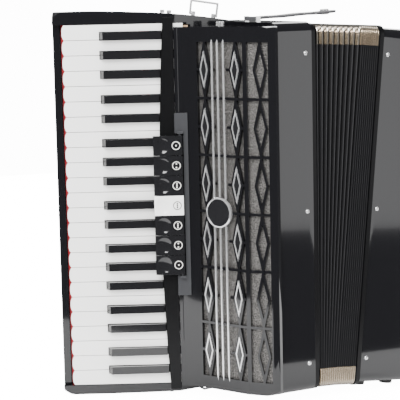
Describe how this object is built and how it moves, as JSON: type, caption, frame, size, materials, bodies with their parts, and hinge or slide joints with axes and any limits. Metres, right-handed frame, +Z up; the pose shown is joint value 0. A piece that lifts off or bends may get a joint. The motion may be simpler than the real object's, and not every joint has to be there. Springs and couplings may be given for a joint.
{
  "type": "piano accordion",
  "caption": "Piano accordion: a sloping piano keyboard and grille on one side, pleated bellows in the middle, and a button board with a hand strap on the other side.",
  "frame": {"origin": "middle of the front seam's line, where the grille cover meets the treble casing, at the level of the keyboard's lower end", "axes": "+X from the keyboard to the bass side, +Y from the front to the player, +Z up"},
  "size_m": [0.5188, 0.2219, 0.5344],
  "materials": {
    "black_lacquer": "polished celluloid over wood",
    "white_key": "polished",
    "black_key": "polished",
    "tab_black": "polished",
    "button_white": "polished",
    "felt": "wool felt",
    "chrome": "polished",
    "reed_plate": "satin",
    "rail_metal": "satin",
    "wood": "oiled",
    "bellows_cloth": "leathercloth over pleated card",
    "leather": "grained",
    "mesh_cloth": "glitter weave",
    "foot_rubber": "matt"
  },
  "bodies": {
    "treble": {"treble_casing": "black_lacquer", "pallet_board": "wood", "keyboard_frame": "black_lacquer", "key_felt": "felt", "key_axle": "chrome", "key_springs": "chrome", "key_cover": "black_lacquer", "register_rail": "rail_metal", "grille_cover": "black_lacquer", "grille_mesh": "mesh_cloth", "grille_trim": "chrome", "grille_badge": "chrome", "grille_screw": "chrome", "treble_reed_blocks": "wood", "treble_reed_plates": "reed_plate", "strap_brackets": "chrome", "bellows_frame_treble": "black_lacquer", "bellows_pins_treble": "chrome", "bellows_folds_treble": "bellows_cloth"},
    "key_f": {"key_f": "white_key"},
    "key_f_sharp": {"key_f_sharp": "black_key"},
    "key_g": {"key_g": "white_key"},
    "key_g_sharp": {"key_g_sharp": "black_key"},
    "key_a": {"key_a": "white_key"},
    "key_a_sharp": {"key_a_sharp": "black_key"},
    "key_b": {"key_b": "white_key"},
    "key_c": {"key_c": "white_key"},
    "key_c_sharp": {"key_c_sharp": "black_key"},
    "key_d": {"key_d": "white_key"},
    "key_d_sharp": {"key_d_sharp": "black_key"},
    "key_e": {"key_e": "white_key"},
    "register_1": {"register_1": "tab_black"},
    "register_2": {"register_2": "tab_black"},
    "register_3": {"register_3": "tab_black"},
    "register_4": {"register_4": "white_key"},
    "register_5": {"register_5": "tab_black"},
    "register_6": {"register_6": "tab_black"},
    "register_7": {"register_7": "tab_black"},
    "strap_bail_top": {"strap_bail_top": "chrome"},
    "strap_bail_bottom": {"strap_bail_bottom": "chrome"},
    "bellows_strap": {"bellows_strap": "leather", "snap_stud": "chrome"},
    "bellows_mid": {"bellows_mid_fold": "bellows_cloth", "bellows_folds_bass": "bellows_cloth"},
    "bass": {"bellows_frame_bass": "black_lacquer", "bellows_pins_bass": "chrome", "bass_casing": "black_lacquer", "bass_button_board": "black_lacquer", "bass_strap": "leather", "bass_feet": "foot_rubber", "bass_reed_blocks": "wood"},
    "bass_row_1": {"bass_row_1": "button_white"},
    "bass_row_2": {"bass_row_2": "button_white"},
    "bass_row_3": {"bass_row_3": "button_white"},
    "bass_row_4": {"bass_row_4": "button_white"},
    "bass_row_5": {"bass_row_5": "button_white"},
    "bass_row_6": {"bass_row_6": "button_white"},
    "bass_registers": {"bass_registers": "button_white"},
    "strap_wheel": {"strap_wheel": "chrome"},
    "air_button": {"air_button": "chrome"}
  },
  "joints": [
    {"name": "key_f_press", "type": "hinge", "parent": "treble", "child": "key_f", "pos_m": [-0.08124, 0.11825, 0.254], "axis": [0, 0, 1], "range_deg": [-1.9, 0], "stiffness_Nm_per_rad": 6},
    {"name": "key_f_sharp_press", "type": "hinge", "parent": "treble", "child": "key_f_sharp", "pos_m": [-0.08124, 0.11825, 0.254], "axis": [0, 0, 1], "range_deg": [-1.9, 0], "stiffness_Nm_per_rad": 6},
    {"name": "key_g_press", "type": "hinge", "parent": "treble", "child": "key_g", "pos_m": [-0.08124, 0.11825, 0.254], "axis": [0, 0, 1], "range_deg": [-1.9, 0], "stiffness_Nm_per_rad": 6},
    {"name": "key_g_sharp_press", "type": "hinge", "parent": "treble", "child": "key_g_sharp", "pos_m": [-0.08124, 0.11825, 0.254], "axis": [0, 0, 1], "range_deg": [-1.9, 0], "stiffness_Nm_per_rad": 6},
    {"name": "key_a_press", "type": "hinge", "parent": "treble", "child": "key_a", "pos_m": [-0.08124, 0.11825, 0.254], "axis": [0, 0, 1], "range_deg": [-1.9, 0], "stiffness_Nm_per_rad": 6},
    {"name": "key_a_sharp_press", "type": "hinge", "parent": "treble", "child": "key_a_sharp", "pos_m": [-0.08124, 0.11825, 0.254], "axis": [0, 0, 1], "range_deg": [-1.9, 0], "stiffness_Nm_per_rad": 6},
    {"name": "key_b_press", "type": "hinge", "parent": "treble", "child": "key_b", "pos_m": [-0.08124, 0.11825, 0.254], "axis": [0, 0, 1], "range_deg": [-1.9, 0], "stiffness_Nm_per_rad": 6},
    {"name": "key_c_press", "type": "hinge", "parent": "treble", "child": "key_c", "pos_m": [-0.08124, 0.11825, 0.254], "axis": [0, 0, 1], "range_deg": [-1.9, 0], "stiffness_Nm_per_rad": 6},
    {"name": "key_c_sharp_press", "type": "hinge", "parent": "treble", "child": "key_c_sharp", "pos_m": [-0.08124, 0.11825, 0.254], "axis": [0, 0, 1], "range_deg": [-1.9, 0], "stiffness_Nm_per_rad": 6},
    {"name": "key_d_press", "type": "hinge", "parent": "treble", "child": "key_d", "pos_m": [-0.08124, 0.11825, 0.254], "axis": [0, 0, 1], "range_deg": [-1.9, 0], "stiffness_Nm_per_rad": 6},
    {"name": "key_d_sharp_press", "type": "hinge", "parent": "treble", "child": "key_d_sharp", "pos_m": [-0.08124, 0.11825, 0.254], "axis": [0, 0, 1], "range_deg": [-1.9, 0], "stiffness_Nm_per_rad": 6},
    {"name": "key_e_press", "type": "hinge", "parent": "treble", "child": "key_e", "pos_m": [-0.08124, 0.11825, 0.254], "axis": [0, 0, 1], "range_deg": [-1.9, 0], "stiffness_Nm_per_rad": 6},
    {"name": "register_1_rock", "type": "hinge", "parent": "treble", "child": "register_1", "pos_m": [-0.09104, 0.10035, 0.254], "axis": [0, 0, 1], "range_deg": [-3.5, 0], "stiffness_Nm_per_rad": 0.8},
    {"name": "register_2_rock", "type": "hinge", "parent": "treble", "child": "register_2", "pos_m": [-0.09104, 0.10035, 0.254], "axis": [0, 0, 1], "range_deg": [-3.5, 0], "stiffness_Nm_per_rad": 0.8},
    {"name": "register_3_rock", "type": "hinge", "parent": "treble", "child": "register_3", "pos_m": [-0.09104, 0.10035, 0.254], "axis": [0, 0, 1], "range_deg": [-3.5, 0], "stiffness_Nm_per_rad": 0.8},
    {"name": "register_4_rock", "type": "hinge", "parent": "treble", "child": "register_4", "pos_m": [-0.09104, 0.10035, 0.254], "axis": [0, 0, 1], "range_deg": [-3.5, 0], "stiffness_Nm_per_rad": 0.8},
    {"name": "register_5_rock", "type": "hinge", "parent": "treble", "child": "register_5", "pos_m": [-0.09104, 0.10035, 0.254], "axis": [0, 0, 1], "range_deg": [-3.5, 0], "stiffness_Nm_per_rad": 0.8},
    {"name": "register_6_rock", "type": "hinge", "parent": "treble", "child": "register_6", "pos_m": [-0.09104, 0.10035, 0.254], "axis": [0, 0, 1], "range_deg": [-3.5, 0], "stiffness_Nm_per_rad": 0.8},
    {"name": "register_7_rock", "type": "hinge", "parent": "treble", "child": "register_7", "pos_m": [-0.09104, 0.10035, 0.254], "axis": [0, 0, 1], "range_deg": [-3.5, 0], "stiffness_Nm_per_rad": 0.8},
    {"name": "strap_bail_top_swing", "type": "hinge", "parent": "treble", "child": "strap_bail_top", "pos_m": [-0.0558, 0.13, 0.50687], "axis": [0.9893, 0, -0.1462], "range_deg": [-85, 85]},
    {"name": "strap_bail_bottom_swing", "type": "hinge", "parent": "treble", "child": "strap_bail_bottom", "pos_m": [-0.0558, 0.13, -0.00021], "axis": [0.9987, 0, 0.0512], "range_deg": [-4, 170]},
    {"name": "bellows_strap_turn", "type": "hinge", "parent": "treble", "child": "bellows_strap", "pos_m": [0.004, 0.069, 0.4986], "axis": [0, -1, 0], "range_deg": [-1.5, 150]},
    {"name": "bellows_fan", "type": "hinge", "parent": "treble", "child": "bellows_mid", "pos_m": [0.0724, 0.105, 0.008], "axis": [0, 1, 0], "range_deg": [-5.4, 20], "deforming": ["bellows_folds_treble"]},
    {"name": "bellows_pull", "type": "slide", "parent": "bellows_mid", "child": "bass", "axis": [0.9956, 0, -0.0941], "range_m": [0, 0.15], "deforming": ["bellows_folds_bass"]},
    {"name": "bass_row_1_press", "type": "slide", "parent": "bass", "child": "bass_row_1", "axis": [-0.9956, 0, 0.0941], "range_m": [0, 0.004], "stiffness_N_per_m": 400},
    {"name": "bass_row_2_press", "type": "slide", "parent": "bass", "child": "bass_row_2", "axis": [-0.9956, 0, 0.0941], "range_m": [0, 0.004], "stiffness_N_per_m": 400},
    {"name": "bass_row_3_press", "type": "slide", "parent": "bass", "child": "bass_row_3", "axis": [-0.9956, 0, 0.0941], "range_m": [0, 0.004], "stiffness_N_per_m": 400},
    {"name": "bass_row_4_press", "type": "slide", "parent": "bass", "child": "bass_row_4", "axis": [-0.9956, 0, 0.0941], "range_m": [0, 0.004], "stiffness_N_per_m": 400},
    {"name": "bass_row_5_press", "type": "slide", "parent": "bass", "child": "bass_row_5", "axis": [-0.9956, 0, 0.0941], "range_m": [0, 0.004], "stiffness_N_per_m": 400},
    {"name": "bass_row_6_press", "type": "slide", "parent": "bass", "child": "bass_row_6", "axis": [-0.9956, 0, 0.0941], "range_m": [0, 0.004], "stiffness_N_per_m": 400},
    {"name": "bass_registers_press", "type": "slide", "parent": "bass", "child": "bass_registers", "axis": [0, 1, 0], "range_m": [0, 0.0025], "stiffness_N_per_m": 400},
    {"name": "air_button_press", "type": "slide", "parent": "bass", "child": "air_button", "axis": [-0.9956, 0, 0.0941], "range_m": [0, 0.004], "stiffness_N_per_m": 400},
    {"name": "strap_wheel_turn", "type": "hinge", "parent": "bass", "child": "strap_wheel", "pos_m": [0.25891, 0.153, 0.42756], "axis": [0.0941, 0, 0.9956], "continuous": true}
  ]
}
